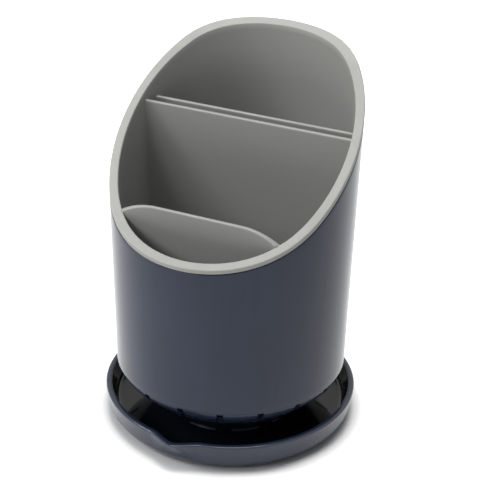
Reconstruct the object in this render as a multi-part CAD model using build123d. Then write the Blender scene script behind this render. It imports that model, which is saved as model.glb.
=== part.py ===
from build123d import *
import math
import os

# A round cutlery drainer: a caddy with a sloping rim stands inside a sleeve, and the
# sleeve's slotted funnel stands in a drip tray with a pouring lip.
# The frame: Z is the drainer's axis, Z = 0 is the table, and the low front faces -Y.
# Lengths are in millimetres and angles in degrees.

# Sleeve
SLEEVE_EDGE_RADIUS = 57.2  # outside radius at the sleeve's lower edge
SLEEVE_DRAFT = 1.15  # how far the wall leans out, from the vertical
SLEEVE_WALL = 2.3  # measured level
SLEEVE_EDGE_ROUND = 0.6  # lower edge
SLEEVE_TOP_ROUND = 0.7
LEDGE_RISE = 1.2  # the caddy's ledge, above the sleeve's lower edge
LEDGE_WIDTH = 3.4

# Funnel under the sleeve, in one piece with it
FUNNEL_HEIGHT = 26.7  # from the tray's floor to the sleeve's lower edge
FUNNEL_BAND = 2.7  # upright band under the sleeve's lower edge
FUNNEL_STEP = 0.1  # level ring left between the sleeve's rounded edge and the band
FUNNEL_FOOT_RADIUS = 31.0
FUNNEL_WALL = 3.4  # measured level
SLOT_COUNT = 18
SLOT_WIDTH = 3.2
SLOT_REACH = 8.5  # how far a slot runs in from the band
SLOT_LAND = 0.6  # band left whole above each slot
NOTCH_COUNT = 9  # openings in the funnel's foot, where its water runs out
NOTCH_WIDTH = 8.0
NOTCH_HEIGHT = 2.4

# Sloping rim, a straight slope between a hollow front bend and a full back bend
RIM_RISE = 116.7  # rim's top face on the axis, above the sleeve's lower edge
RIM_SLOPE = 39.2
RIM_FRONT_BEND = 25.8  # where the front bend starts, ahead of the axis
RIM_FRONT_RADIUS = 116.0
RIM_BACK_BEND = 38.0  # where the back bend starts, behind the axis
RIM_BACK_RADIUS = 45.5
RIM_THICKNESS = 2.1
RIM_ROUND = 0.7
RIM_SHADOW_GAP = 0.6  # between the rim and the sleeve's top edge

# Caddy
CADDY_GAP = 0.5  # all round, inside the sleeve
CADDY_WALL = 1.6
CADDY_FLOOR = 2.2
CADDY_FLOOR_ROUND = 3.0
CADDY_FOOT_ROUND = 0.8

# Dividers, in one piece with the caddy
DIVIDER_WALL = 2.0
DIVIDER_ROUND = 0.8  # along its top
KNIFE_WALL_BACK = 12.2  # front face of the knife slot's front wall, behind the axis
KNIFE_WALL_DROP = 4.8  # its top, below the rim there
KNIFE_GAP = 5.0
POCKET_WALL_FRONT = 36.9  # rear face of the pocket's wall, ahead of the axis
POCKET_WALL_RISE = 5.1  # its top, above the rim there
POCKET_CORNER_RADIUS = 34.0
POCKET_END_SINK = 1.2  # its two ends, below the rim there

# Drain slots in the caddy's floor
DRAIN_WIDTH = 4.0
DRAIN_PITCH = 9.0
DRAIN_MARGIN = 3.5  # floor left whole beside walls
DRAIN_BRIDGE = 5.0  # floor left whole between the middle part's two rows
KNIFE_DRAIN_LENGTH = 12.0
KNIFE_DRAIN_PITCH = 18.0

# Drip tray
TRAY_MARGIN = 3.8  # how far the tray's underside reaches past the sleeve's lower edge
TRAY_SPREAD = 2.3  # how much wider the tray is at its rim than at its underside
TRAY_CORNER_RADIUS = 7.0
TRAY_HEIGHT = 14.6
TRAY_WALL = 3.2
TRAY_FLOOR = 2.4
TRAY_RIM_ROUND = 1.0
BOSS_HEIGHT = 2.0  # raised middle that keeps the funnel's foot in its place
BOSS_GAP = 0.4  # between the boss and the funnel's foot
BOSS_CROWN = 1.0  # fall of the boss's top, so that water runs off it
BOSS_ROUND = 0.9

# Pouring lip
LIP_HALF_WIDTH = 14.0
LIP_REACH = 6.0  # how far the rim is drawn out
LIP_BLEND = 3.0  # how far the rim's own line runs on into the lip
LIP_TIP_BLEND = 3.0  # how far the lip's front runs on to each side of its tip

# Non-slip pads
PAD_CORNERS = ("front_right", "rear_right", "rear_left", "front_left")  # in turn round the axis
PAD_DIAMETER = 7.0
PAD_INSET = 3.95  # pad's middle, from the edge of the tray's flat underside
PAD_THICKNESS = 2.0
PAD_STAND = 0.8  # how far a pad stands out of its recess
PAD_GAP = 0.15  # between a pad and its recess, all round
PAD_EDGE_ROUND = 0.4

# Closeness at which a point counts as lying on a face
NEAR = 0.02

# Heights above the table
under = PAD_STAND
tray_floor = under + TRAY_FLOOR
tray_rim = under + TRAY_HEIGHT
tray_corner_top = under + TRAY_CORNER_RADIUS
sleeve_edge = tray_floor + FUNNEL_HEIGHT
ledge = sleeve_edge + LEDGE_RISE
caddy_floor = ledge + CADDY_FLOOR
rim_middle = sleeve_edge + RIM_RISE

# Radii that follow from the sizes above
lean = math.tan(math.radians(SLEEVE_DRAFT))
band_radius = SLEEVE_EDGE_RADIUS - SLEEVE_EDGE_ROUND - FUNNEL_STEP
foot_bore = FUNNEL_FOOT_RADIUS - FUNNEL_WALL
boss_radius = foot_bore - BOSS_GAP
tray_base_radius = SLEEVE_EDGE_RADIUS + TRAY_MARGIN  # without its corner
tray_rim_radius = tray_base_radius + TRAY_SPREAD


def sleeve_radius(z):
    """Outside radius of the sleeve, and of the caddy's rim, at a height."""
    return SLEEVE_EDGE_RADIUS + (z - sleeve_edge) * lean


def sleeve_bore(z):
    """Inside radius of the sleeve at a height."""
    return sleeve_radius(z) - SLEEVE_WALL


def caddy_radius(z):
    """Outside radius of the caddy's wall at a height."""
    return sleeve_bore(z) - CADDY_GAP


def caddy_bore(z):
    """Inside radius of the caddy's wall at a height."""
    return caddy_radius(z) - CADDY_WALL


def turned(points, rounds=None):
    """Solid turned about Z from radius and height pairs, with a round for each corner."""
    outline = [(r, 0, z) for r, z in points]
    corners = rounds or [0] * len(points)
    return revolve(make_face(FilletPolyline(outline, radius=corners, close=True)), Axis.Z)


# The rim's side view: slope direction, its normal, and the centres of the two bends
slope = math.radians(RIM_SLOPE)
slope_normal = Vector(0, -math.sin(slope), math.cos(slope))


def on_slope(y):
    """Point of the rim's straight slope at a distance behind the axis."""
    return Vector(0, y, rim_middle + y * math.tan(slope))


front_centre = on_slope(-RIM_FRONT_BEND) + slope_normal * RIM_FRONT_RADIUS
back_centre = on_slope(RIM_BACK_BEND) - slope_normal * RIM_BACK_RADIUS
top_height = back_centre.Z + RIM_BACK_RADIUS + RIM_THICKNESS


def rim_height(y, below=0):
    """Height, behind the axis, of the rim's top face lowered square to itself."""
    shift = below * math.sin(slope)
    if y < shift - RIM_FRONT_BEND:
        radius = RIM_FRONT_RADIUS + below
        return front_centre.Z - math.sqrt(radius**2 - (y - front_centre.Y) ** 2)
    if y > shift + RIM_BACK_BEND:
        radius = RIM_BACK_RADIUS - below
        return back_centre.Z + math.sqrt(radius**2 - (y - back_centre.Y) ** 2)
    return on_slope(y).Z - below / math.cos(slope)


def space_above_rim(below):
    """Everything above the rim's top face lowered, square to itself, by a distance."""
    front_radius = RIM_FRONT_RADIUS + below
    back_radius = RIM_BACK_RADIUS - below
    front_end = front_centre - Vector(0, 0, front_radius)
    front_start = front_centre - slope_normal * front_radius
    back_start = back_centre + slope_normal * back_radius
    back_end = back_centre + Vector(0, 0, back_radius)
    half_way = Vector(0, -math.sin(slope / 2), math.cos(slope / 2))
    reach = 2 * tray_rim_radius
    front_low = Vector(0, -reach, front_end.Z)
    back_low = Vector(0, reach, back_end.Z)
    front_high = Vector(0, -reach, top_height + reach)
    back_high = Vector(0, reach, top_height + reach)
    edges = [
        Line(front_low, front_end),
        ThreePointArc(front_end, front_centre - half_way * front_radius, front_start),
        Line(front_start, back_start),
        ThreePointArc(back_start, back_centre + half_way * back_radius, back_end),
        Line(back_end, back_low),
        Line(back_low, back_high),
        Line(back_high, front_high),
        Line(front_high, front_low),
    ]
    return extrude(make_face(edges), reach, dir=(1, 0, 0), both=True)


def rim_edges(shape, radius_at, below):
    """Edges where a turned wall meets the rim's top face lowered by a distance."""

    def lies_there(point):
        on_wall = math.isclose(math.hypot(point.X, point.Y), radius_at(point.Z), abs_tol=NEAR)
        return on_wall and math.isclose(point.Z, rim_height(point.Y, below), abs_tol=NEAR)

    return [e for e in shape.edges() if all(lies_there(e @ at) for at in (0, 0.3, 0.5, 0.7, 1))]


def block(x, y, z):
    """Box between two values on each axis."""
    centre = [(low + high) / 2 for low, high in (x, y, z)]
    return Pos(*centre) * Box(x[1] - x[0], y[1] - y[0], z[1] - z[0])


def upright(radius, height):
    """Upright cylinder that stands on the table."""
    return Cylinder(radius, height, align=(Align.CENTER, Align.CENTER, Align.MIN))


def tray_radius(z):
    """Outside radius of the tray's straight wall at a height."""
    return tray_base_radius + (z - under) * TRAY_SPREAD / TRAY_HEIGHT


def lip_outline(radius, height, half_width, reach):
    """Level circle in three spans, with the two front ones drawn out to a tip."""
    spread = math.asin(half_width / radius)

    def on_circle(angle):
        return Vector(radius * math.sin(angle), -radius * math.cos(angle), height)

    left, right, tip = on_circle(-spread), on_circle(spread), on_circle(0) - Vector(0, reach, 0)
    back = ThreePointArc(right, on_circle(math.pi), left)
    if reach:
        along = Vector(math.cos(spread), 0, 0) * LIP_BLEND
        ahead = Vector(0, math.sin(spread), 0) * LIP_BLEND
        beside = Vector(LIP_TIP_BLEND, 0, 0)
        flanks = [
            Bezier(left, left + along - ahead, tip - beside, tip),
            Bezier(tip, tip + beside, right - along - ahead, right),
        ]
    else:
        flanks = [
            ThreePointArc(left, on_circle(-spread / 2), tip),
            ThreePointArc(tip, on_circle(spread / 2), right),
        ]
    return Wire([line.edge() for line in [back, *flanks]])


def lip_solid(inset):
    """Inside of the tray's straight wall, lip included, moved in square to the lip's front."""
    flare = math.atan(LIP_REACH / (tray_rim - tray_corner_top))
    reach = LIP_REACH - inset * (1 / math.cos(flare) - 1)
    half_width = LIP_HALF_WIDTH - inset / 2
    low = lip_outline(tray_radius(tray_corner_top) - inset, tray_corner_top, half_width, 0)
    high = lip_outline(tray_rim_radius - inset, tray_rim, half_width, reach)
    return Solid.make_loft([low, high], ruled=True)


def drip_tray():
    """Tray with a boss for the funnel's foot, a gutter round it and a pouring lip."""
    wall_outside = tray_radius(tray_corner_top)
    boss_top = tray_floor + BOSS_HEIGHT
    corners = [
        ((0, under), 0),
        ((tray_base_radius, under), TRAY_CORNER_RADIUS),
        ((wall_outside, tray_corner_top), 0),
        ((wall_outside - TRAY_WALL, tray_corner_top), 0),
        ((tray_radius(tray_floor) - TRAY_WALL, tray_floor), TRAY_CORNER_RADIUS - TRAY_FLOOR),
        ((boss_radius, tray_floor), 0),
        ((boss_radius, boss_top), BOSS_ROUND),
        ((0, boss_top + BOSS_CROWN), 0),
    ]
    tray = turned([point for point, _ in corners], [corner for _, corner in corners])
    tray += lip_solid(0) - lip_solid(TRAY_WALL)
    rim_tops = [face for face in tray.faces() if abs(face.center().Z - tray_rim) < NEAR]
    tray = fillet(rim_tops[0].edges(), TRAY_RIM_ROUND)

    for place in pad_places():
        tray -= place * upright(PAD_DIAMETER / 2 + PAD_GAP, PAD_THICKNESS)
    return tray


def pad_places():
    """Places of the pads under the tray, the first to the front right."""
    circle = tray_base_radius - TRAY_CORNER_RADIUS - PAD_INSET
    count = len(PAD_CORNERS)
    return [Rot(0, 0, (i + 0.5) * 360 / count - 90) * Pos(circle, 0, 0) for i in range(count)]


def foot_pad(place):
    """Non-slip pad with an eased lower edge."""
    pad = upright(PAD_DIAMETER / 2, PAD_THICKNESS)
    return place * fillet(pad.edges().group_by(Axis.Z)[0], PAD_EDGE_ROUND)


def outer_sleeve():
    """Leaning sleeve with a ledge inside for the caddy and a slotted funnel below."""
    band_foot = sleeve_edge - FUNNEL_BAND
    spread = (band_radius - FUNNEL_FOOT_RADIUS) / (band_foot - tray_floor)
    ledge_bore = sleeve_bore(ledge) - LEDGE_WIDTH
    ledge_foot = tray_floor + (ledge_bore - foot_bore) / spread
    corners = [
        ((foot_bore, tray_floor), 0),
        ((FUNNEL_FOOT_RADIUS, tray_floor), 0),
        ((band_radius, band_foot), 0),
        ((band_radius, sleeve_edge), 0),
        ((SLEEVE_EDGE_RADIUS, sleeve_edge), SLEEVE_EDGE_ROUND),
        ((sleeve_radius(top_height), top_height), 0),
        ((sleeve_bore(top_height), top_height), 0),
        ((sleeve_bore(ledge), ledge), 0),
        ((ledge_bore, ledge), 0),
        ((ledge_bore, ledge_foot), 0),
    ]
    sleeve = turned([point for point, _ in corners], [corner for _, corner in corners])
    cut = RIM_THICKNESS + RIM_SHADOW_GAP
    sleeve -= space_above_rim(cut)
    sleeve = fillet(rim_edges(sleeve, sleeve_radius, cut), SLEEVE_TOP_ROUND)

    slot_half = SLOT_WIDTH / 2
    slot = block(
        (band_radius - SLOT_REACH, SLEEVE_EDGE_RADIUS),
        (-slot_half, slot_half),
        (under, sleeve_edge - SLOT_LAND),
    )
    for i in range(SLOT_COUNT):
        sleeve -= Rot(0, 0, i * 360 / SLOT_COUNT - 90) * slot

    notch_half = NOTCH_WIDTH / 2
    notch_top = tray_floor + NOTCH_HEIGHT
    notch_end = FUNNEL_FOOT_RADIUS + NOTCH_HEIGHT * spread
    notch = block((foot_bore - FUNNEL_WALL, notch_end), (-notch_half, notch_half), (under, notch_top))
    for i in range(NOTCH_COUNT):
        sleeve -= Rot(0, 0, (i + 0.5) * 360 / NOTCH_COUNT - 90) * notch
    return sleeve


def drain_slot(x, y):
    """Round-ended cutter through the caddy's floor, between two values on each axis."""
    width = x[1] - x[0]
    length = y[1] - y[0]
    centre = ((x[0] + x[1]) / 2, (y[0] + y[1]) / 2, ledge - CADDY_FLOOR)
    outline = SlotOverall(max(width, length), min(width, length), 90 if length > width else 0)
    return Pos(*centre) * extrude(outline, 3 * CADDY_FLOOR)


def drain_slots(pocket_front, pocket_back, knife_front, knife_back):
    """Cutters for all drain slots, in rows that keep clear of the walls."""
    clear = caddy_bore(caddy_floor) - DRAIN_MARGIN
    middle = (pocket_back + knife_front) / 2
    half_bridge = DRAIN_BRIDGE / 2
    rows = [
        (-clear, pocket_front - DRAIN_MARGIN),
        (pocket_back + DRAIN_MARGIN, middle - half_bridge),
        (middle + half_bridge, knife_front - DRAIN_MARGIN),
        (knife_back + DRAIN_MARGIN, clear),
    ]
    half = DRAIN_WIDTH / 2
    columns = int((clear - half) // DRAIN_PITCH)
    cutters = []
    for column in range(-columns, columns + 1):
        x = column * DRAIN_PITCH
        reach = math.sqrt(clear**2 - (abs(x) + half) ** 2)
        for front, back in rows:
            y = (max(front, -reach), min(back, reach))
            if y[1] - y[0] > DRAIN_WIDTH:
                cutters.append(drain_slot((x - half, x + half), y))

    # One row along the knife slot, narrower than the slot itself
    knife_middle = (knife_front + knife_back) / 2
    knife_half = KNIFE_GAP / 4
    knife_columns = int((clear - KNIFE_DRAIN_LENGTH) // KNIFE_DRAIN_PITCH)
    for column in range(-knife_columns, knife_columns + 1):
        x = column * KNIFE_DRAIN_PITCH
        ends = (x - KNIFE_DRAIN_LENGTH / 2, x + KNIFE_DRAIN_LENGTH / 2)
        cutters.append(drain_slot(ends, (knife_middle - knife_half, knife_middle + knife_half)))
    return cutters


def inner_caddy():
    """Caddy with a sloping rim over the sleeve's edge, a knife slot and a front pocket."""
    body = turned(
        [
            (0, ledge),
            (caddy_radius(ledge), ledge),
            (caddy_radius(top_height), top_height),
            (0, top_height),
        ],
        [0, CADDY_FOOT_ROUND, 0, 0],
    )
    rim = turned(
        [
            (0, sleeve_edge),
            (sleeve_radius(sleeve_edge), sleeve_edge),
            (sleeve_radius(top_height), top_height),
            (0, top_height),
        ]
    )
    inside = turned(
        [
            (0, caddy_floor),
            (caddy_bore(caddy_floor), caddy_floor),
            (caddy_bore(top_height), top_height),
            (0, top_height),
        ],
        [0, CADDY_FLOOR_ROUND, 0, 0],
    )
    above = space_above_rim(0)
    caddy = body - above + ((rim - above) & space_above_rim(RIM_THICKNESS)) - inside
    rim_rounds = rim_edges(caddy, sleeve_radius, 0) + rim_edges(caddy, caddy_bore, 0)
    caddy = fillet(rim_rounds, RIM_ROUND)

    # Dividers, rounded along their tops, that run half way into the caddy's wall and floor
    foot = caddy_floor - CADDY_FLOOR / 2
    foot_radius = caddy_bore(foot) + CADDY_WALL / 2
    top_radius = caddy_bore(top_height) + CADDY_WALL / 2
    core = turned([(0, foot), (foot_radius, foot), (top_radius, top_height), (0, top_height)])
    wide = 2 * tray_rim_radius
    knife_front = KNIFE_WALL_BACK
    knife_top = rim_height(knife_front) - KNIFE_WALL_DROP
    pitch = DIVIDER_WALL + KNIFE_GAP
    walls = []
    for y in (knife_front, knife_front + pitch):
        wall = block((-wide, wide), (y, y + DIVIDER_WALL), (foot, knife_top))
        walls.append(fillet(wall.edges().filter_by(Axis.X).group_by(Axis.Z)[-1], DIVIDER_ROUND))

    pocket_back = -POCKET_WALL_FRONT
    pocket_front = pocket_back - DIVIDER_WALL
    pocket_rim = rim_height(pocket_back)
    pocket_top = pocket_rim + POCKET_WALL_RISE
    drop = POCKET_WALL_RISE + POCKET_END_SINK
    run = math.sqrt(POCKET_CORNER_RADIUS**2 - (POCKET_CORNER_RADIUS - drop) ** 2)
    chord = math.sqrt(caddy_bore(pocket_rim) ** 2 - pocket_back**2)
    half = chord - run + POCKET_CORNER_RADIUS
    outline = [
        (-half, pocket_back, foot),
        (half, pocket_back, foot),
        (half, pocket_back, pocket_top),
        (-half, pocket_back, pocket_top),
    ]
    corners = [0, 0, POCKET_CORNER_RADIUS, POCKET_CORNER_RADIUS]
    pocket_face = make_face(FilletPolyline(outline, radius=corners, close=True))
    wall = extrude(pocket_face, DIVIDER_WALL, dir=(0, -1, 0))
    corner_start = pocket_top - POCKET_CORNER_RADIUS
    tops = [e for e in wall.edges() - wall.edges().filter_by(Axis.Y) if e.center().Z > corner_start]
    walls.append(fillet(tops, DIVIDER_ROUND))

    for wall in walls:
        caddy += wall & core
    knife_back = knife_front + pitch + DIVIDER_WALL
    for cutter in drain_slots(pocket_front, pocket_back, knife_front, knife_back):
        caddy -= cutter
    return caddy


pieces = {
    "drip_tray": drip_tray(),
    "outer_sleeve": outer_sleeve(),
    "inner_caddy": inner_caddy(),
}
for corner, place in zip(PAD_CORNERS, pad_places()):
    pieces[f"foot_pad_{corner}"] = foot_pad(place)

os.makedirs("parts", exist_ok=True)
for name, piece in pieces.items():
    export_step(piece, f"parts/{name}.step")
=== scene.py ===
"""Looks of a round cutlery drainer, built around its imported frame.

The caddy, the sleeve and the drip tray are modelled here as moulded shells in the frame's place and
size, with finishes of their own. The pads keep the frame's meshes. Sizes are in millimetres until a
mesh is made, and in metres from there on.
"""

import json
import logging
import math
from collections.abc import Callable, Sequence
from dataclasses import dataclass, field, replace
from enum import Enum
from typing import TypeAlias

import bmesh
import bpy
from mathutils import Matrix, Vector


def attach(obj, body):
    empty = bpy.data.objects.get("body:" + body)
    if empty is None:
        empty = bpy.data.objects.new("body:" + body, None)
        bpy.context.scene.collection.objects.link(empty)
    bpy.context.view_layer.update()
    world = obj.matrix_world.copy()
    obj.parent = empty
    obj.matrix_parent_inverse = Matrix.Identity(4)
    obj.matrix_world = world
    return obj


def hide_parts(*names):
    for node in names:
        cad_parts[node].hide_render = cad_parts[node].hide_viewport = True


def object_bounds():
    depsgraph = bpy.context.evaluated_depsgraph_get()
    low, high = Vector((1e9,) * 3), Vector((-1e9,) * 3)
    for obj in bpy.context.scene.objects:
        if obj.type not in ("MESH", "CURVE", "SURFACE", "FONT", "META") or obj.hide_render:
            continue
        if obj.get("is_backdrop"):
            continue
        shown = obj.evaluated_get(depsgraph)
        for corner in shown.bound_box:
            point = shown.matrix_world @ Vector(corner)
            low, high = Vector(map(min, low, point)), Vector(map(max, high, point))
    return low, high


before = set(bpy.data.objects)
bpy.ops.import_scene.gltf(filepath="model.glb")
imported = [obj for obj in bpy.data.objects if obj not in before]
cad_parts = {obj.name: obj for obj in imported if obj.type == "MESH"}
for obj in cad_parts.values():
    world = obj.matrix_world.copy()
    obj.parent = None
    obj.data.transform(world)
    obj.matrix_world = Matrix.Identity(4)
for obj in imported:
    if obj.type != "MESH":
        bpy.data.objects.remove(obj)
CAD_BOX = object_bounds()

LOG = logging.getLogger("drainer")
MM = 0.001
ARC_STEPS = 5  # spans of each rounded corner
SHARP_RADIUS = 1.5  # corners rounded less than this get rubbed, in millimetres
WELD = 0.002  # points nearer than this become one, in millimetres
CREASE = 30.0  # edges between faces stay sharp from this angle on, in degrees
WORN = "worn"
POLISHED_AND_SHADED = "polished_and_shaded"
WHITE = (1.0, 1.0, 1.0)

Colour: TypeAlias = tuple[float, float, float]
Point2: TypeAlias = tuple[float, float]
Point3: TypeAlias = tuple[float, float, float]
Value: TypeAlias = "Socket | float | Colour"


class Body(Enum):
    """Bodies of the frame that pieces ride on."""

    TRAY = "tray"
    SLEEVE = "sleeve"
    CADDY = "caddy"


class Slot(Enum):
    """Names of material slots."""

    TRAY = "tray_plastic"
    SLEEVE = "sleeve_plastic"
    CADDY = "caddy_plastic"
    PAD = "pad_rubber"


# Shader nodes


class Socket:
    """Output socket of a shader node that takes part in Python arithmetic."""

    def __init__(self, shader: "Shader", output: bpy.types.NodeSocket) -> None:
        """Keep the shader that the socket belongs to."""
        self.shader = shader
        self.output = output

    def _math(self, operation: str, first: Value, second: Value) -> "Socket":
        """Add a Math node.

        Args:
            operation: The Math node's operation.
            first: Its first value.
            second: Its second value.

        Returns:
            The node's result.
        """
        return self.shader.node("ShaderNodeMath", {"operation": operation}, {0: first, 1: second})

    def __add__(self, other: Value) -> "Socket":
        """Sum."""
        return self._math("ADD", self, other)

    def __radd__(self, other: Value) -> "Socket":
        """Sum, from the right."""
        return self._math("ADD", other, self)

    def __sub__(self, other: Value) -> "Socket":
        """Difference."""
        return self._math("SUBTRACT", self, other)

    def __rsub__(self, other: Value) -> "Socket":
        """Difference, from the right."""
        return self._math("SUBTRACT", other, self)

    def __mul__(self, other: Value) -> "Socket":
        """Product."""
        return self._math("MULTIPLY", self, other)

    def __rmul__(self, other: Value) -> "Socket":
        """Product, from the right."""
        return self._math("MULTIPLY", other, self)

    def at_most(self, other: Value) -> "Socket":
        """Smaller of two values."""
        return self._math("MINIMUM", self, other)

    def at_least(self, other: Value) -> "Socket":
        """Larger of two values."""
        return self._math("MAXIMUM", self, other)


class Shader:
    """Node tree of one material or world while it is built."""

    def __init__(self, tree: bpy.types.NodeTree) -> None:
        """Start from an empty tree."""
        self.tree = tree
        tree.nodes.clear()

    def node(
        self, kind: str, settings: dict | None = None, sockets: dict | None = None, out: str | int = 0
    ) -> Socket | None:
        """Add a node.

        Args:
            kind: The node's type.
            settings: Properties of the node, set before its sockets.
            sockets: Values or links of its inputs, by name or number.
            out: Name or number of the output to return.

        Returns:
            That output. An output node has none.
        """
        node = self.tree.nodes.new(kind)
        for name, value in (settings or {}).items():
            setattr(node, name, value)
        for name, value in (sockets or {}).items():
            socket = self._pick(node.inputs, name)
            if isinstance(value, Socket):
                self.tree.links.new(value.output, socket)
            elif isinstance(value, tuple) and socket.type == "RGBA":
                socket.default_value = (*value, 1.0)
            else:
                socket.default_value = value
        return Socket(self, self._pick(node.outputs, out)) if node.outputs else None

    @staticmethod
    def _pick(sockets: bpy.types.bpy_prop_collection, name: str | int) -> bpy.types.NodeSocket:
        """Find a socket that is in use, by name or number."""
        if isinstance(name, int):
            return sockets[name]
        return next(s for s in sockets if s.name == name and s.enabled)

    def mix(self, share: Value, first: Value, second: Value) -> Socket:
        """Mix two colours.

        Args:
            share: Share of the second colour.
            first: First colour.
            second: Second colour.

        Returns:
            The mixed colour.
        """
        sockets = {"Factor": share, "A": first, "B": second}
        return self.node("ShaderNodeMix", {"data_type": "RGBA"}, sockets, "Result")

    def noise(self, place: Socket, size: float, detail: float, roughness: float = 0.5) -> Socket:
        """Add a noise texture.

        Args:
            place: Texture coordinates, in metres.
            size: Size of its features, in millimetres.
            detail: Number of finer layers.
            roughness: Strength of the finer layers.

        Returns:
            Its value, about 0.5 on average.
        """
        sockets = {"Vector": place, "Scale": 1 / (size * MM), "Detail": detail, "Roughness": roughness}
        return self.node("ShaderNodeTexNoise", None, sockets)

    def stretched(self, place: Socket, scale: Point3) -> Socket:
        """Scale texture coordinates along each axis."""
        return self.node("ShaderNodeVectorMath", {"operation": "MULTIPLY"}, {0: place, 1: scale})

    def mask(self, value: Socket, low: float, high: float) -> Socket:
        """Turn a value into a soft mask that rises from low to high."""
        sockets = {"Value": value, "From Min": low, "From Max": high}
        return self.node("ShaderNodeMapRange", {"interpolation_type": "SMOOTHSTEP"}, sockets)

    def attribute(self, name: str) -> Socket:
        """Read a value that a mesh keeps at its vertices."""
        return self.node("ShaderNodeAttribute", {"attribute_name": name}, None, "Fac")

    def bump(self, height: Socket) -> Socket:
        """Turn a height, in millimetres, into a normal."""
        return self.node("ShaderNodeBump", None, {"Height": height, "Distance": MM, "Strength": 1.0})

    def principled(self, sockets: dict) -> None:
        """Finish a material with a Principled surface.

        Args:
            sockets: Values or links of the surface's inputs, by name.
        """
        surface = self.node("ShaderNodeBsdfPrincipled", None, sockets)
        self.node("ShaderNodeOutputMaterial", None, {"Surface": surface})


def blank_material(name: str) -> tuple[bpy.types.Material, Shader]:
    """Make a material that has no nodes yet.

    Args:
        name: The material's name.

    Returns:
        The material and its shader.
    """
    material = bpy.data.materials.new(name)
    material.use_nodes = True
    return material, Shader(material.node_tree)


# Finishes


@dataclass(frozen=True)
class Plastic:
    """Moulded plastic with a fine grain, faint flow marks, rubbed edges, and an inside colour that paints
    shade where the mesh is marked polished_and_shaded.

    Colours are linear, sizes are in millimetres.
    """

    name: str
    colour: Colour
    inside: Colour
    rubbed: Colour
    roughness: float
    polish: float
    specular: float
    grain_size: float
    grain_depth: float
    cloud: float = 0.10
    coat: float = 0.0
    coat_roughness: float = 0.12
    least_roughness: float = 0.05
    cloud_size: float = 40.0
    flow_size: float = 6.0
    flow_squash: float = 0.12
    speck_size: float = 1.4
    scuff_size: float = 7.0

    def material(self) -> bpy.types.Material:
        """Build the material.

        Returns:
            The new material.
        """
        material, shader = blank_material(self.name)
        place = shader.node("ShaderNodeTexCoord", None, None, "Object")
        clouds = shader.noise(place, self.cloud_size, 3.0)
        flow = shader.noise(shader.stretched(place, (1.0, 1.0, self.flow_squash)), self.flow_size, 2.0)
        grain = shader.noise(place, self.grain_size, 1.0)
        specks = shader.noise(place, self.speck_size, 2.0)
        scuffs = shader.mask(shader.noise(place, self.scuff_size, 3.0, 0.65), 0.52, 0.72)
        worn = shader.attribute(WORN)
        polished_and_shaded = shader.attribute(POLISHED_AND_SHADED)

        dark = tuple(c * (1 - self.cloud) for c in self.colour)
        light = tuple(c * (1 + self.cloud) for c in self.colour)
        tone = clouds * 0.6 + flow * 0.3 + specks * 0.1
        # Where the mesh is marked polished_and_shaded the colour turns to the inside colour: painted shade
        # in the tray's gutter and the caddy's inside. None shows on the sleeve, whose inside colour is its
        # outside colour. The same mark lowers the roughness.
        body = shader.mix(polished_and_shaded, shader.mix(shader.mask(tone, 0.35, 0.65), dark, light), self.inside)
        colour = shader.mix(worn * (0.25 + 0.5 * scuffs), body, self.rubbed)

        dull = self.roughness + (tone - 0.5) * 0.16 + (specks - 0.5) * 0.06
        glossy = self.polish + (specks - 0.5) * 0.02
        rough = dull + polished_and_shaded * (glossy - dull) - worn * 0.05
        skin = (1 - 0.85 * polished_and_shaded) * self.grain_depth
        sockets = {
            "Base Color": colour,
            "Roughness": rough.at_least(self.least_roughness),
            "Specular IOR Level": self.specular,
            "Coat Weight": (1 - polished_and_shaded) * self.coat,
            "Coat Roughness": self.coat_roughness,
            "Normal": shader.bump(grain * skin),
        }
        shader.principled(sockets)
        return material


@dataclass(frozen=True)
class Rubber:
    """Dull rubber with a pebbled skin and patches of dust."""

    name: str
    colour: Colour
    dust: Colour
    roughness: float = 0.82
    specular: float = 0.3
    pebble_size: float = 0.5
    pebble_depth: float = 0.05
    dust_size: float = 3.0

    def material(self) -> bpy.types.Material:
        """Build the material.

        Returns:
            The new material.
        """
        material, shader = blank_material(self.name)
        place = shader.node("ShaderNodeTexCoord", None, None, "Object")
        pebbles = shader.noise(place, self.pebble_size, 2.0)
        dust = shader.mask(shader.noise(place, self.dust_size, 3.0), 0.5, 0.75)
        sockets = {
            "Base Color": shader.mix(dust * 0.5, self.colour, self.dust),
            "Roughness": self.roughness + (pebbles - 0.5) * 0.2,
            "Specular IOR Level": self.specular,
            "Normal": shader.bump(pebbles * self.pebble_depth),
        }
        shader.principled(sockets)
        return material


SLATE = (0.022, 0.032, 0.060)
SLATE_SATIN = Plastic(
    name="slate_satin",
    colour=SLATE,
    inside=SLATE,
    rubbed=(0.040, 0.050, 0.078),
    roughness=0.20,
    polish=0.08,
    specular=0.26,
    grain_size=0.45,
    grain_depth=0.004,
)
# The gloss's near-black inside colour is painted shade for the tray's boss, gutter floor and inner wall.
SLATE_GLOSS = replace(
    SLATE_SATIN, name="slate_gloss", inside=(0.005, 0.006, 0.010), polish=0.07, specular=0.24, coat=0.35
)
# The grey's darker inside colour is painted shade for the caddy's inside walls, floor and dividers.
WARM_GREY = Plastic(
    name="warm_grey",
    colour=(0.39, 0.39, 0.368),
    inside=(0.298, 0.301, 0.284),
    rubbed=(0.455, 0.455, 0.437),
    roughness=0.52,
    polish=0.5,
    specular=0.35,
    grain_size=0.40,
    grain_depth=0.030,
    cloud=0.05,
)
PAD_RUBBER = Rubber("pad_rubber", (0.018, 0.018, 0.020), (0.05, 0.05, 0.05))


# Outlines and meshes


def clamped(value: float, high: float = 1.0) -> float:
    """Value kept between 0 and a limit."""
    return max(0.0, min(high, value))


@dataclass(frozen=True)
class Corner:
    """Corner of an outline, with the radius that rounds it."""

    r: float
    z: float
    radius: float = 0.0
    polished_and_shaded: float = 0.0


@dataclass(frozen=True)
class Station:
    """Point of a finished outline."""

    r: float
    z: float
    worn: float
    polished_and_shaded: float


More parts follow.
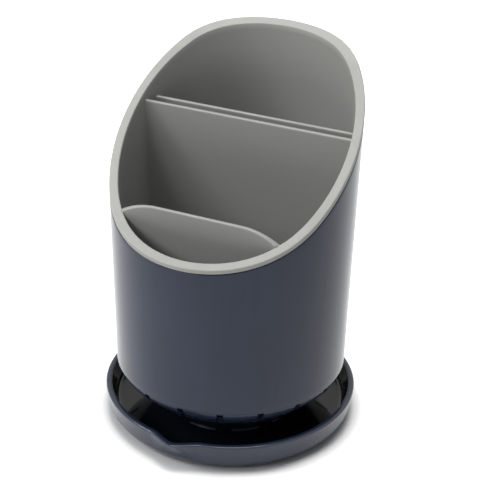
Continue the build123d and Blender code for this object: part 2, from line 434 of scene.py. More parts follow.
def arc(before: Vector, corner: Vector, after: Vector, radius: float) -> list[Vector]:
    """Round a corner.

    Args:
        before: Corner before it.
        corner: The corner.
        after: Corner after it.
        radius: Radius of the round.

    Returns:
        Points of the round, from the side of before.
    """
    back = (before - corner).normalized()
    ahead = (after - corner).normalized()
    half = back.angle(ahead) / 2
    centre = corner + (back + ahead).normalized() * (radius / math.sin(half))
    start = corner + back * (radius / math.tan(half)) - centre
    end = corner + ahead * (radius / math.tan(half)) - centre
    sweep = start.angle(end)
    points = []
    for step in range(ARC_STEPS + 1):
        share = step / ARC_STEPS
        low = math.sin((1 - share) * sweep) / math.sin(sweep)
        high = math.sin(share * sweep) / math.sin(sweep)
        points.append(centre + start * low + end * high)
    return points


def rounded(corners: Sequence[Corner]) -> list[Station]:
    """Round the corners of an open outline.

    Args:
        corners: The corners, in order.

    Returns:
        Points of the outline, as many for the same rounds wherever they lie.
    """
    flat = [Vector((c.r, c.z)) for c in corners]
    stations = []
    for index, corner in enumerate(corners):
        if not corner.radius:
            stations.append(Station(corner.r, corner.z, 0.0, corner.polished_and_shaded))
            continue
        points = arc(flat[index - 1], flat[index], flat[index + 1], corner.radius)
        sharp = 1.0 if corner.radius < SHARP_RADIUS else 0.0
        for number, point in enumerate(points):
            rub = sharp * math.sin(math.pi * number / ARC_STEPS)
            stations.append(Station(point.x, point.y, rub, corner.polished_and_shaded))
    return stations


@dataclass
class Moulding:
    """Points and faces of one piece while it is built."""

    points: list[Vector] = field(default_factory=list)
    worn: list[float] = field(default_factory=list)
    polished_and_shaded: list[float] = field(default_factory=list)
    faces: list[tuple[int, ...]] = field(default_factory=list)

    def point(self, place: Vector, worn: float, polished_and_shaded: float) -> int:
        """Add a point.

        Args:
            place: Its place, in millimetres.
            worn: How much it is rubbed.
            polished_and_shaded: How much it is polished, and how much of the finish's painted inside shade
                it takes.

        Returns:
            Its number.
        """
        self.points.append(place)
        self.worn.append(worn)
        self.polished_and_shaded.append(polished_and_shaded)
        return len(self.points) - 1

    def skin(
        self,
        lines: Sequence[Sequence[int]],
        closed: bool = False,
        keep: Callable[[int, int], bool] | None = None,
    ) -> None:
        """Join neighbouring lines of points with faces.

        Args:
            lines: Lines with the same number of points.
            closed: Whether the last line joins the first.
            keep: Says by line and point which faces are made. All are made without it.
        """
        spans = len(lines) if closed else len(lines) - 1
        for i in range(spans):
            here, there = lines[i], lines[(i + 1) % len(lines)]
            for j in range(len(here) - 1):
                if keep is None or keep(i, j):
                    self.faces.append((here[j], there[j], there[j + 1], here[j + 1]))

    def piece(self, name: str, node: str, body: Body, slot: Slot, finish: Plastic) -> None:
        """Make the piece that stands for a node of the frame.

        Args:
            name: The piece's name.
            node: The frame's node that it stands for.
            body: The body that it rides on.
            slot: Its material slot; not used.
            finish: Its finish.
        """
        mesh = bpy.data.meshes.new(name)
        mesh.from_pydata([p * MM for p in self.points], [], self.faces)
        for key, values in ((WORN, self.worn), (POLISHED_AND_SHADED, self.polished_and_shaded)):
            mesh.attributes.new(key, "FLOAT", "POINT").data.foreach_set("value", values)
        work = bmesh.new()
        work.from_mesh(mesh)
        bmesh.ops.remove_doubles(work, verts=work.verts, dist=WELD * MM)
        bmesh.ops.recalc_face_normals(work, faces=work.faces)
        work.to_mesh(mesh)
        work.free()
        mesh.shade_smooth()
        mesh.set_sharp_from_angle(angle=math.radians(CREASE))
        piece = bpy.data.objects.new(name, mesh)
        bpy.context.scene.collection.objects.link(piece)
        mesh.materials.append(finish.material())
        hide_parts(node)
        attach(piece, body.value)
        LOG.info("%s: %d points, rides on %s", name, len(mesh.vertices), body.value)


def polar(r: float, turn: float, z: float) -> Vector:
    """Point at a radius and a turn from the front, in radians, towards the right."""
    return Vector((r * math.sin(turn), -r * math.cos(turn), z))


# Shared form


@dataclass(frozen=True)
class Form:
    """Sizes that more than one moulding follows."""

    tray_under: float = 0.8
    tray_bottom: float = 2.4
    funnel_height: float = 26.7
    funnel_foot: float = 31.0
    funnel_wall: float = 3.4
    sleeve_radius: float = 57.2
    draft: float = 1.15
    sleeve_wall: float = 2.3
    caddy_gap: float = 0.5
    caddy_wall: float = 1.6
    ledge_rise: float = 1.2
    rim_rise: float = 116.7
    rim_slope: float = 39.2
    front_bend: float = 25.8
    front_radius: float = 116.0
    back_bend: float = 38.0
    back_radius: float = 45.5
    rim_thickness: float = 2.1
    shadow_gap: float = 0.3
    settling: int = 6

    @property
    def tray_floor(self) -> float:
        """Height of the tray's floor, which the funnel stands on."""
        return self.tray_under + self.tray_bottom

    @property
    def sleeve_edge(self) -> float:
        """Height of the sleeve's lower edge."""
        return self.tray_floor + self.funnel_height

    @property
    def ledge(self) -> float:
        """Height of the ledge that the caddy stands on."""
        return self.sleeve_edge + self.ledge_rise

    @property
    def rim_middle(self) -> float:
        """Height of the rim's top face on the axis."""
        return self.sleeve_edge + self.rim_rise

    def outside(self, z: float) -> float:
        """Radius of the sleeve's outside, and of the caddy's rim, at a height."""
        return self.sleeve_radius + (z - self.sleeve_edge) * math.tan(math.radians(self.draft))

    def sleeve_bore(self, z: float) -> float:
        """Radius of the sleeve's inside at a height."""
        return self.outside(z) - self.sleeve_wall

    def caddy_outside(self, z: float) -> float:
        """Radius of the caddy's wall outside at a height."""
        return self.sleeve_bore(z) - self.caddy_gap

    def caddy_bore(self, z: float) -> float:
        """Radius of the caddy's inside at a height."""
        return self.caddy_outside(z) - self.caddy_wall

    def rim_height(self, y: float, below: float = 0.0) -> float:
        """Height of the rim's top face, lowered square to itself.

        Args:
            y: Distance behind the axis.
            below: How far the face is lowered.

        Returns:
            The height.
        """
        slope = math.radians(self.rim_slope)
        rise, normal = math.tan(slope), Vector((-math.sin(slope), math.cos(slope)))
        shift = below * math.sin(slope)
        if y < shift - self.front_bend:
            start = Vector((-self.front_bend, self.rim_middle - self.front_bend * rise))
            centre = start + normal * self.front_radius
            return centre.y - math.sqrt((self.front_radius + below) ** 2 - (y - centre.x) ** 2)
        if y > shift + self.back_bend:
            start = Vector((self.back_bend, self.rim_middle + self.back_bend * rise))
            centre = start - normal * self.back_radius
            return centre.y + math.sqrt((self.back_radius - below) ** 2 - (y - centre.x) ** 2)
        return self.rim_middle + y * rise - below / math.cos(slope)

    def at_rim(
        self, radius_at: Callable[[float], float], turn: float, below: float, radius: float = 0.0
    ) -> Corner:
        """Corner where a turned wall meets the rim's face.

        Args:
            radius_at: The wall's radius by height.
            turn: Turn from the front, in radians.
            below: How far the rim's face is lowered.
            radius: Radius that rounds the corner.

        Returns:
            The corner.
        """
        z = self.rim_middle
        for _ in range(self.settling):
            z = self.rim_height(-radius_at(z) * math.cos(turn), below)
        return Corner(radius_at(z), z, radius)


FORM = Form()


# Drip tray


@dataclass(frozen=True)
class DripTray:
    """Saucer with a boss for the funnel's foot, a gutter round it and a pouring lip."""

    margin: float = 3.8
    rim_spread: float = 2.3
    corner: float = 7.0
    height: float = 14.6
    wall: float = 3.2
    rim_round: float = 1.0
    rim_clear: float = 1.2
    boss_gap: float = 0.4
    boss_height: float = 2.0
    boss_round: float = 0.9
    crown: float = 1.0
    eye: float = 1.5
    lip_half_width: float = 14.0
    lip_reach: float = 5.35
    lip_blend: float = 3.0
    tip_blend: float = 3.0
    lip_rows: int = 6
    lip_columns: int = 30
    columns: int = 168

    @property
    def base_radius(self) -> float:
        """Radius that the underside would have without its rounded edge."""
        return FORM.sleeve_radius + self.margin

    @property
    def rim_radius(self) -> float:
        """Radius of the rim's outside."""
        return self.base_radius + self.rim_spread

    @property
    def wall_foot(self) -> float:
        """Height where the wall gets straight and the lip starts."""
        return FORM.tray_under + self.corner

    @property
    def rim(self) -> float:
        """Height of the rim."""
        return FORM.tray_under + self.height

    def outside(self, z: float) -> float:
        """Radius of the straight wall's outside at a height."""
        return self.base_radius + (z - FORM.tray_under) * self.rim_spread / self.height

    def outline(self) -> list[Station]:
        """Outline from the middle of the boss over the rim to the middle of the underside.

        Returns:
            Its points.
        """
        floor_top = FORM.tray_floor
        boss_top = floor_top + self.boss_height
        boss_radius = FORM.funnel_foot - FORM.funnel_wall - self.boss_gap
        heights = self.heights()
        # Corners marked 1 are polished and take the painted inside shade of the boss, gutter and inner
        # wall. The rim's inner corner takes half of it.
        corners = [
            Corner(self.eye, boss_top + self.crown, 0, 1),
            Corner(boss_radius, boss_top, self.boss_round, 1),
            Corner(boss_radius, floor_top, 0, 1),
            Corner(self.outside(floor_top) - self.wall, floor_top, self.corner - FORM.tray_bottom, 1),
            *[Corner(self.outside(z) - self.wall, z, 0, 1) for z in heights],
            Corner(self.rim_radius - self.wall, self.rim, self.rim_round, 0.5),
            Corner(self.rim_radius, self.rim, self.rim_round),
            *[Corner(self.outside(z), z) for z in reversed(heights)],
            Corner(self.base_radius, FORM.tray_under, self.corner),
            Corner(self.eye, FORM.tray_under),
        ]
        return rounded(corners)

    def heights(self) -> list[float]:
        """Heights of the wall's rows that shape the lip, from the lowest."""
        run = self.rim - self.rim_clear - self.wall_foot
        return [self.wall_foot + run * (row + 1) / self.lip_rows for row in range(self.lip_rows)]

    def half_width(self, inset: float) -> float:
        """Half the lip's width, at a distance inside the wall's outside."""
        return self.lip_half_width - inset / 2

    def lip_line(self, radius: float, inset: float) -> list[Vector]:
        """Shifts that draw a level circle out into the lip.

        Args:
            radius: The circle's radius.
            inset: How far the circle lies inside the wall's outside.

        Returns:
            Shift of each of the lip's columns at the rim, from left to right.
        """
        spread = math.asin(self.half_width(inset) / radius)
        flare = math.atan(self.lip_reach / (self.height - self.corner))
        reach = self.lip_reach - inset * (1 / math.cos(flare) - 1)
        tip = polar(radius + reach, 0, 0)
        shifts = []
        for column in range(-self.lip_columns, self.lip_columns + 1):
            side = 1 if column > 0 else -1
            t = 1 - abs(column) / self.lip_columns
            start = polar(radius, side * spread, 0)
            along = Vector((-side * math.cos(spread), -math.sin(spread), 0)) * self.lip_blend
            beside = tip + Vector((side * self.tip_blend, 0, 0))
            drawn = start * (1 - t) ** 3 + (start + along) * (3 * t * (1 - t) ** 2)
            drawn += beside * (3 * t**2 * (1 - t)) + tip * t**3
            shifts.append(drawn - polar(radius, side * spread * (1 - t), 0))
        return shifts

    def build(self) -> None:
        """Model the tray."""
        moulding = Moulding()
        lines: list[list[int]] = [[] for _ in range(2 * self.lip_columns + self.columns)]
        for station in self.outline():
            reach = clamped((station.z - self.wall_foot) / (self.rim - self.wall_foot))
            on_wall = station.r > self.base_radius / 2
            inset = clamped(self.outside(station.z) - station.r, self.wall)
            spread = math.asin(self.half_width(inset) / max(station.r, self.lip_half_width * 2))
            shifts = self.lip_line(station.r, inset) if reach and on_wall else None
            for number, line in enumerate(lines):
                if number <= 2 * self.lip_columns:
                    turn = spread * (number / self.lip_columns - 1)
                else:
                    share = (number - 2 * self.lip_columns) / self.columns
                    turn = spread + share * (2 * math.pi - 2 * spread)
                place = polar(station.r, turn, station.z)
                if shifts and number <= 2 * self.lip_columns:
                    place += shifts[number] * reach
                line.append(moulding.point(place, station.worn, station.polished_and_shaded))
        moulding.skin(lines, closed=True)
        moulding.faces.append(tuple(line[0] for line in lines))
        moulding.faces.append(tuple(line[-1] for line in lines))
        moulding.piece("tray_shell", "drip_tray", Body.TRAY, Slot.TRAY, SLATE_GLOSS)


# Sleeve


@dataclass(frozen=True)
class OuterSleeve:
    """Leaning sleeve with a ledge inside and a slotted funnel below."""

    band: float = 2.7
    band_step: float = 0.7
    band_lean: float = 0.9
    bend_round: float = 5.5
    foot_lip: float = 0.95
    lip_height: float = 0.5
    lip_round: float = 0.36
    edge_round: float = 0.6
    top_round: float = 0.7
    inner_top_round: float = 0.3
    top_clear: float = 3.0
    wall_rows: tuple[float, ...] = (0.05, 0.35, 0.65, 1.0)
    ledge_width: float = 3.4
    slot_count: int = 18
    slot_width: float = 3.2
    slot_reach: float = 8.5
    slot_land: float = 0.6
    notch_height: float = 2.4
    slot_spans: int = 2
    land_spans: int = 10
    notch_spans: int = 3

    @property
    def band_radius(self) -> float:
        """Outside radius of the band under the sleeve's lower edge."""
        return FORM.sleeve_radius - self.band_step

    def side(self, start: float, bend: float, lean: float, lip: float) -> list[Corner]:
        """Outline of one side of the funnel, from its foot to the top of its slots.

        Args:
            start: Radius at the foot.
            bend: Radius at the top.
            lean: How far the band over the bend leans in.
            lip: How far the foot's lip stands out. The side has none at 0.

        Returns:
            Its rows: those of the foot, the notches' top, the slots' lower end, the rounded bend
            and the slots' top.
        """
        foot, top = FORM.tray_floor, FORM.sleeve_edge - self.slot_land
        spread = (self.band_radius - FORM.funnel_foot) / (FORM.funnel_height - self.band)

        def on_cone(r: float) -> Vector:
            """Point of the cone at a radius."""
            return Vector((r, foot + (r - start) / spread))

        edge, joint = Vector((start + lip, foot)), on_cone(start + self.lip_height * spread)
        if lip:
            rows = [edge, *arc(edge, Vector((edge.x, joint.y)), joint, self.lip_round)]
        else:
            rows = [edge.lerp(joint, step / (ARC_STEPS + 1)) for step in range(ARC_STEPS + 2)]
        shine = len(rows)
        rows += [on_cone(start + self.notch_height * spread), on_cone(self.band_radius - self.slot_reach)]
        rows += arc(rows[-1], on_cone(bend - lean), Vector((bend, top)), self.bend_round)
        rows.append(Vector((bend, top)))
        return [Corner(row.x, row.y, 0, float(number < shine)) for number, row in enumerate(rows)]

    def outline(self, turn: float) -> list[Station]:
        """Outline at a turn, from the funnel's foot outside, over the top, to its foot inside.

        Args:
            turn: Turn from the front, in radians.

        Returns:
            Its points. The first rows and the last rows are the funnel's.
        """
        below = FORM.rim_thickness + FORM.shadow_gap
        top = FORM.at_rim(FORM.outside, turn, below, self.top_round)
        inner_top = FORM.at_rim(FORM.sleeve_bore, turn, below, self.inner_top_round)
        bore = FORM.sleeve_bore(FORM.ledge) - self.ledge_width
        outside = self.side(FORM.funnel_foot, self.band_radius, self.band_lean, self.foot_lip)
        inside = self.side(FORM.funnel_foot - FORM.funnel_wall, bore, 0, 0)
        rise = top.z - self.top_clear - FORM.sleeve_edge
        heights = [FORM.sleeve_edge + rise * share for share in self.wall_rows]
        corners = [
            *outside,
            Corner(self.band_radius, FORM.sleeve_edge),
            Corner(FORM.sleeve_radius, FORM.sleeve_edge, self.edge_round),
            *[Corner(FORM.outside(z), z) for z in heights],
            top,
            inner_top,
            Corner(FORM.sleeve_bore(FORM.ledge), FORM.ledge),
            Corner(bore, FORM.ledge),
            *reversed(inside),
        ]
        return rounded(corners)

    def turn(self, column: int, r: float) -> float:
        """Turn of a column at a radius, with a slot's two sides parallel.

        Args:
            column: The column's number, from the front slot's middle.
            r: Radius.

        Returns:
            The turn from the front, in radians.
        """
        spans = self.slot_spans + self.land_spans
        pitch = 2 * math.pi / self.slot_count
        whole, part = divmod(column + self.slot_spans // 2, spans)
        edge = math.asin(self.slot_width / 2 / r)
        if part <= self.slot_spans:
            return whole * pitch + math.asin(self.slot_width * (part / self.slot_spans - 0.5) / r)
        share = (part - self.slot_spans) / self.land_spans
        return whole * pitch + edge + share * (pitch - 2 * edge)

    def in_slot(self, column: int) -> bool:
        """Whether the span after a column lies in a slot."""
        return (column + self.slot_spans // 2) % (self.slot_spans + self.land_spans) < self.slot_spans

    def in_notch(self, column: int) -> bool:
        """Whether the span after a column lies in a notch of the foot, one under every second slot."""
        place = column + self.slot_spans // 2 + self.notch_spans
        whole, part = divmod(place, self.slot_spans + self.land_spans)
        return whole % 2 == 1 and part < self.slot_spans + 2 * self.notch_spans

    def build(self) -> None:
        """Model the sleeve."""
        count = (self.slot_spans + self.land_spans) * self.slot_count
        foot, roof, end, top = 0, ARC_STEPS + 2, ARC_STEPS + 3, 2 * ARC_STEPS + 5
        moulding = Moulding()
        lines = []
        for column in range(count):
            stations = self.outline(self.turn(column, FORM.sleeve_radius))
            places = [polar(s.r, self.turn(column, s.r), s.z) for s in stations]
            lines.append([moulding.point(p, s.worn, s.polished_and_shaded) for p, s in zip(places, stations)])
        last = len(lines[0]) - 1

        def keep(column: int, row: int) -> bool:
            """Whether a slot or a notch leaves a face of the funnel."""
            level = min(row, last - 1 - row)
            notched = self.in_notch(column) and foot <= level < roof
            slotted = self.in_slot(column) and end <= level < top
            return not (notched or slotted)

        moulding.skin(lines, closed=True, keep=keep)
        for column, line in enumerate(lines):
            after = lines[(column + 1) % count]
            levels = [roof if self.in_notch(column) else foot]
            levels += [end, top] if self.in_slot(column) else []
            for level in levels:
                moulding.faces.append((line[level], line[last - level], after[last - level], after[level]))
            for inside, low, high in ((self.in_notch, foot, roof), (self.in_slot, end, top)):
                if inside(column) != inside((column - 1) % count):
                    rows = range(low, high + 1)
                    moulding.skin([[line[row] for row in rows], [line[last - row] for row in rows]])
        moulding.piece("sleeve_shell", "outer_sleeve", Body.SLEEVE, Slot.SLEEVE, SLATE_SATIN)


# Caddy


@dataclass(frozen=True)
class InnerCaddy:
    """Caddy with a sloping rim over the sleeve's edge, a knife slot and a front pocket."""

    floor: float = 2.2
    floor_round: float = 3.0
    foot_round: float = 0.8
    rim_round: float = 0.7
    under_round: float = 0.3
    back_fall: float = 1.4
    fall_start: float = 10.0
    fall_run: float = 45.0
    rim_clear: float = 3.0
    floor_clear: float = 4.0
    wall_rows: tuple[float, ...] = (1.0, 0.66, 0.33, 0.0)
    divider: float = 2.0
    divider_round: float = 0.8
    root_round: float = 0.3
    root_spans: int = 4
    root_depth: float = 1.0
    wall_sink: float = 0.5
    knife_back: float = 12.2
    knife_drop: float = 4.8
    knife_gap: float = 5.0
    pocket_front: float = 36.9
    pocket_rise: float = 5.1
    pocket_corner: float = 34.0
    pocket_sink: float = 0.6
    drain_width: float = 4.0
    drain_pitch: float = 9.0
    drain_margin: float = 3.5
    drain_bridge: float = 5.0
    knife_drain_length: float = 12.0
    knife_drain_pitch: float = 18.0
    plate_radius: float = 49.6
    columns: int = 240

    @property
    def floor_top(self) -> float:
        """Height of the floor's upper face."""
        return FORM.ledge + self.floor

    def outline(self, turn: float) -> list[Station]:
        """Outline at a turn, from the floor's underside over the rim to the floor's upper face.

        Args:
            turn: Turn from the front, in radians.

        Returns:
            Its points.
        """
        below = FORM.rim_thickness
        inner = FORM.at_rim(FORM.caddy_bore, turn, 0)
        share = clamped((-inner.r * math.cos(turn) - self.fall_start) / self.fall_run)
        edge = inner.z - self.back_fall * share**2 * (3 - 2 * share)
        inner = Corner(FORM.caddy_bore(edge), edge, self.rim_round)
        low, high = self.floor_top + self.floor_clear, inner.z - self.rim_clear
        inner_rows = [low + (high - low) * share for share in self.wall_rows]
        # Rows marked 1 are polished and take the painted inside shade of the wall and floor.
        corners = [
            Corner(self.plate_radius, FORM.ledge),
            Corner(FORM.caddy_outside(FORM.ledge), FORM.ledge, self.foot_round),
            FORM.at_rim(FORM.caddy_outside, turn, below),
            FORM.at_rim(FORM.outside, turn, below, self.under_round),
            FORM.at_rim(FORM.outside, turn, 0, self.rim_round),
            inner,
            *[Corner(FORM.caddy_bore(z), z, 0, 1) for z in inner_rows],
            Corner(FORM.caddy_bore(self.floor_top), self.floor_top, self.floor_round, 1),
            Corner(self.plate_radius, self.floor_top, 0, 1),
        ]
        return rounded(corners)

    def drains(self) -> list[list[Point2]]:
        """Outlines of the drain slots in the floor.

        Returns:
            A closed line of points for each slot.
        """
        clear = FORM.caddy_bore(self.floor_top) - self.drain_margin
        pocket_back = -self.pocket_front
        knife_rear = self.knife_back + 2 * self.divider + self.knife_gap
        middle = (pocket_back + self.knife_back) / 2
        rows = [
            (-clear, pocket_back - self.divider - self.drain_margin),
            (pocket_back + self.drain_margin, middle - self.drain_bridge / 2),
            (middle + self.drain_bridge / 2, self.knife_back - self.drain_margin),
            (knife_rear + self.drain_margin, clear),
        ]
        half = self.drain_width / 2
        columns = int((clear - half) // self.drain_pitch)
        slots = []
        for column in range(-columns, columns + 1):
            x = column * self.drain_pitch
            reach = math.sqrt(clear**2 - (abs(x) + half) ** 2)
            for front, back in rows:
                low, high = max(front, -reach), min(back, reach)
                if high - low > self.drain_width:
                    slots.append(self.slot_line((x, low + half), (x, high - half), half))
        along = (self.knife_back + knife_rear) / 2
        thin = self.knife_gap / 4
        columns = int((clear - self.knife_drain_length) // self.knife_drain_pitch)
        for column in range(-columns, columns + 1):
            x, run = column * self.knife_drain_pitch, self.knife_drain_length / 2 - thin
            slots.append(self.slot_line((x - run, along), (x + run, along), thin))
        return slots

    @staticmethod
    def slot_line(start: Point2, end: Point2, radius: float, steps: int = 8) -> list[Point2]:
        """Round-ended slot between two centres.

        Args:
            start: Centre of the first end.
            end: Centre of the second end.
            radius: Half of the slot's width.
            steps: Spans of each end.

        Returns:
            Points round the slot.
        """
        heading = math.atan2(end[1] - start[1], end[0] - start[0])
        line = []
        for centre, first in ((end, heading - math.pi / 2), (start, heading + math.pi / 2)):
            for step in range(steps + 1):
                angle = first + math.pi * step / steps
                line.append((centre[0] + radius * math.cos(angle), centre[1] + radius * math.sin(angle)))
        return line

    def add_plate(self, moulding: Moulding, edge: Sequence[Vector]) -> None:
        """Add the floor's slotted middle.

        Args:
            moulding: The caddy's moulding.
            edge: Points round the plate.
        """
        slots = self.drains()
        work = bmesh.new()
        for line in [[(p.x, p.y) for p in edge], *slots]:
            corners = [work.verts.new((x, y, 0)) for x, y in line]
            for a, b in zip(corners, corners[1:] + corners[:1]):
                work.edges.new((a, b))
        bmesh.ops.triangle_fill(
            work, use_beauty=True, use_dissolve=False, edges=work.edges, normal=(0, 0, 1)
        )
        work.verts.index_update()
        # The plate and the drains' walls are marked polished_and_shaded, so they take the painted inside
        # shade.
        for z in (FORM.ledge, self.floor_top):
            first = len(moulding.points)
            for corner in work.verts:
                moulding.point(Vector((corner.co.x, corner.co.y, z)), 0.0, 1.0)
            for face in work.faces:
                moulding.faces.append(tuple(first + corner.index for corner in face.verts))
        work.free()
        for line in slots:
            ends = (FORM.ledge, self.floor_top)
            walls = [[moulding.point(Vector((x, y, z)), 0.0, 1.0) for z in ends] for x, y in line]
            moulding.skin(walls, closed=True)

    def wall_reach(self, y: float, z: float) -> float:
        """Half the width, at a place, of a divider that ends inside the caddy's wall."""
        return math.sqrt((FORM.caddy_bore(z) + self.wall_sink) ** 2 - y**2)

    def add_divider(
        self, moulding: Moulding, front: float, top: Callable[[float], float], spans: int
    ) -> None:
        """Add a divider across the caddy, with a rounded top and a fillet at each end.

        Args:
            moulding: The caddy's moulding.
            front: Front face, behind the axis.
            top: Height of its top by distance from the middle.
            spans: Number of spans across, apart from those of the fillets.
        """
        centre, half = front + self.divider / 2, self.divider / 2
        width = self.wall_reach(centre, top(0))
        face = width - self.wall_sink
        turns = [math.pi / 2 * span / self.root_spans for span in range(self.root_spans)]
        places = [self.root_round * (1 - math.cos(turn)) - face for turn in turns]
        places += [(2 * span / spans - 1) * (face - self.root_round) for span in range(spans + 1)]
        places += [-place for place in reversed(places[: self.root_spans])]
        places = [-width, *places, width]
        lines = []
        for x in places:
            gap = face - abs(x)
            flare = 0.0
            if gap < self.root_round:
                into = self.root_round - max(gap, 0.0)
                flare = self.root_round - math.sqrt(max(0.0, self.root_round**2 - into**2))
            crest = top(x)
            outline = [
                (centre - half - flare, self.floor_top - self.root_depth, 0.0),
                (centre - half - flare, crest - self.divider_round * 2, 0.0),
            ]
            for step in range(ARC_STEPS + 1):
                angle = math.pi / 2 * step / ARC_STEPS
                back = half + flare - self.divider_round * (1 - math.sin(angle))
                fall = self.divider_round * (1 - math.cos(angle))
                outline.append((centre - back, crest - fall, math.sin(2 * angle)))
            outline[2:] = reversed(outline[2:])
            outline += [(2 * centre - y, z, w) for y, z, w in reversed(outline)]
            line = []
            for y, z, worn in outline:
                place = Vector((x / width * self.wall_reach(y, z), y, z))
                # Dividers are marked polished_and_shaded and take the painted inside shade, with less of
                # it on their rounded crests, which are also rubbed.
                line.append(moulding.point(place, worn, 1 - worn / 2))
            lines.append(line)
        moulding.skin(lines)
        moulding.faces.append(tuple(lines[0]))
        moulding.faces.append(tuple(lines[-1]))

    def pocket_top(self, x: float) -> float:
        """Height of the pocket wall's top at a distance from the middle.

        Args:
            x: The distance.

        Returns:
            The height.
        """
        rim = FORM.rim_height(-self.pocket_front)
        crest = rim + self.pocket_rise
        drop = self.pocket_rise + self.pocket_sink
        run = math.sqrt(self.pocket_corner**2 - (self.pocket_corner - drop) ** 2)
        chord = math.sqrt(FORM.caddy_bore(rim) ** 2 - self.pocket_front**2)
        past = abs(x) - (chord - run)
        if past <= 0:
            return crest
        return crest - self.pocket_corner + math.sqrt(self.pocket_corner**2 - past**2)

    def build(self) -> None:
        """Model the caddy."""
        moulding = Moulding()
        lines = []
        for column in range(self.columns):
            turn = 2 * math.pi * column / self.columns
            stations = self.outline(turn)
            lines.append([moulding.point(polar(s.r, turn, s.z), s.worn, s.polished_and_shaded) for s in stations])
        moulding.skin(lines, closed=True)
        self.add_plate(moulding, [moulding.points[line[0]] for line in lines])
        knife_top = FORM.rim_height(self.knife_back) - self.knife_drop
        for step in (0.0, self.divider + self.knife_gap):
            self.add_divider(moulding, self.knife_back + step, lambda x: knife_top, 2)
        self.add_divider(moulding, -self.pocket_front - self.divider, self.pocket_top, 48)
        moulding.piece("caddy_shell", "inner_caddy", Body.CADDY, Slot.CADDY, WARM_GREY)


# Pads


@dataclass(frozen=True)
class FootPads:
    """Non-slip pads under the tray, which keep the frame's meshes."""

    prefix: str = "foot_pad_"

    def dress(self) -> None:
        """Give the pads their rubber."""
        rubber = PAD_RUBBER.material()
        pads = [node for name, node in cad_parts.items() if name.startswith(self.prefix)]
        for pad in pads:
            pad.data.materials.clear()
            pad.data.materials.append(rubber)
            LOG.info("%s: dressed in rubber", pad.name)


# Studio


@dataclass(frozen=True)
class Softbox:
    """Area lamp that looks at the drainer. Places and sizes are in metres."""

    name: str
    place: Point3
    width: float
    height: float
    power: float
    aim: Point3 = (0.0, 0.0, 0.09)

    def hang(self) -> None:
        """Add the lamp."""
        data = bpy.data.lights.new(self.name, "AREA")
        data.shape = "RECTANGLE"
        data.size = self.width
        data.size_y = self.height
        data.energy = self.power
        lamp = bpy.data.objects.new(self.name, data)
        lamp.location = self.place
        lamp.rotation_mode = "QUATERNION"
        lamp.rotation_quaternion = (Vector(self.aim) - Vector(self.place)).to_track_quat("-Z", "Y")
        bpy.context.scene.collection.objects.link(lamp)


@dataclass(frozen=True)
class Camera:
    """Camera at the photograph's viewing angle. Angles are in degrees and lengths in millimetres."""

    azimuth: float = 24.03
    elevation: float = 27.62
    roll: float = 1.404
    distance: float = 721.13
    right: float = 8.434
    up: float = 77.932
    lens: float = 100.61
    sensor: float = 36.0

    def place(self) -> None:
        """Add the camera and make it the scene's."""
        turn, lift, roll = (math.radians(a) for a in (self.azimuth, self.elevation, self.roll))
        back = Vector((math.sin(turn) * math.cos(lift), -math.cos(turn) * math.cos(lift), math.sin(lift)))
        level = Vector((math.cos(turn), math.sin(turn), 0))
        upward = back.cross(level)
        rolled = math.cos(roll) * level + math.sin(roll) * upward
        top = math.cos(roll) * upward - math.sin(roll) * level
        data = bpy.data.cameras.new("camera")
        data.lens = self.lens
        data.sensor_width = self.sensor
        camera = bpy.data.objects.new("camera", data)
        bpy.context.scene.collection.objects.link(camera)
        matrix = Matrix((rolled, top, back)).transposed().to_4x4()
        matrix.translation = (back * self.distance + level * self.right + upward * self.up) * MM
        camera.matrix_world = matrix
        bpy.context.scene.camera = camera


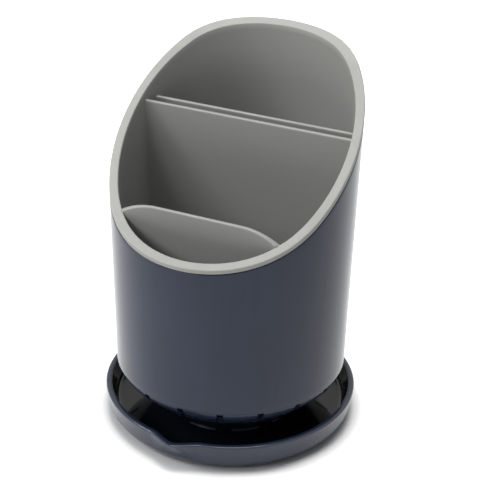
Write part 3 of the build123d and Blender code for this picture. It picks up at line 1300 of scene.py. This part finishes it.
@dataclass(frozen=True)
class Studio:
    """Pale floor, white surroundings and soft lamps."""

    floor_size: float = 6.0
    floor_drop: float = 0.0002
    floor_colour: Colour = (0.80, 0.80, 0.80)
    floor_glow: float = 1.0
    mirrored_glow: float = 0.8
    # Reach of the occlusion, and the levels at which the floor's painted contact shadow is fully dark and
    # fully clear.
    contact: float = 0.030
    contact_dark: float = 0.42
    contact_clear: float = 0.92
    ambient: float = 0.19
    softboxes: tuple[Softbox, ...] = (
        Softbox("softbox_left", (-0.92, -0.53, 0.84), 0.45, 0.45, 6.5),
        Softbox("softbox_front", (-0.45, -1.00, 0.80), 0.45, 0.45, 3.0),
        Softbox("softbox_top", (0.05, 0.05, 1.50), 0.6, 0.6, 14.0),
    )

    @staticmethod
    def seen(shader: Shader, mirrored: float = 1.0) -> Socket:
        """Share of a glow that a ray sees.

        Args:
            shader: The material's or world's nodes.
            mirrored: Share for rays from reflections. Rays from the camera see all of it.

        Returns:
            The share.
        """
        camera = shader.node("ShaderNodeLightPath", None, None, "Is Camera Ray")
        glossy = shader.node("ShaderNodeLightPath", None, None, "Is Glossy Ray")
        through = shader.node("ShaderNodeLightPath", None, None, "Is Transmission Ray")
        return (camera + (glossy + through) * mirrored).at_most(1.0)

    def lay_floor(self) -> None:
        """Add the floor, which keeps the lamps' shadow on its matt part and a painted contact shadow in
        its glow.
        """
        half = self.floor_size / 2
        sides = ((-half, -half), (half, -half), (half, half), (-half, half))
        corners = [(x, y, -self.floor_drop) for x, y in sides]
        mesh = bpy.data.meshes.new("floor")
        mesh.from_pydata(corners, [], [(0, 1, 2, 3)])
        material, shader = blank_material("floor_white")
        matt = shader.node("ShaderNodeBsdfDiffuse", None, {"Color": self.floor_colour})
        # The glow is darkened by ambient occlusion near the drainer: a painted contact shadow, not one
        # cast by the lamps.
        near = shader.node("ShaderNodeAmbientOcclusion", {"samples": 8}, {"Distance": self.contact}, "AO")
        clear = shader.mask(near, self.contact_dark, self.contact_clear)
        strength = self.seen(shader, self.mirrored_glow) * self.floor_glow * clear
        glow = shader.node("ShaderNodeEmission", None, {"Color": WHITE, "Strength": strength})
        surface = shader.node("ShaderNodeAddShader", None, {0: matt, 1: glow})
        shader.node("ShaderNodeOutputMaterial", None, {"Surface": surface})
        mesh.materials.append(material)
        floor = bpy.data.objects.new("floor", mesh)
        bpy.context.scene.collection.objects.link(floor)
        floor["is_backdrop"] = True

    def light_world(self) -> None:
        """Make the surroundings white to look at and plain as a light."""
        world = bpy.data.worlds.new("surroundings")
        bpy.context.scene.world = world
        world.use_nodes = True
        shader = Shader(world.node_tree)
        strength = self.ambient + self.seen(shader) * (1 - self.ambient)
        sky = shader.node("ShaderNodeBackground", None, {"Color": WHITE, "Strength": strength})
        shader.node("ShaderNodeOutputWorld", None, {"Surface": sky})

    def build(self) -> None:
        """Add everything round the drainer."""
        self.lay_floor()
        self.light_world()
        for softbox in self.softboxes:
            softbox.hang()
        Camera().place()
        bpy.context.scene.view_settings.view_transform = "Standard"


def write_sizes() -> None:
    """Turn the frame's box and the dressed drainer's box into JSON text, which is not kept.
    """
    boxes = {"cad": CAD_BOX, "visual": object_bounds()}
    json.dumps({name: [list(corner) for corner in box] for name, box in boxes.items()})


def main() -> None:
    """Build the drainer's pieces in order, then the studio."""
    logging.basicConfig(level=logging.INFO, format="%(name)s: %(message)s")
    DripTray().build()
    OuterSleeve().build()
    InnerCaddy().build()
    FootPads().dress()
    Studio().build()
    write_sizes()


if __name__ == "__main__":
    main()
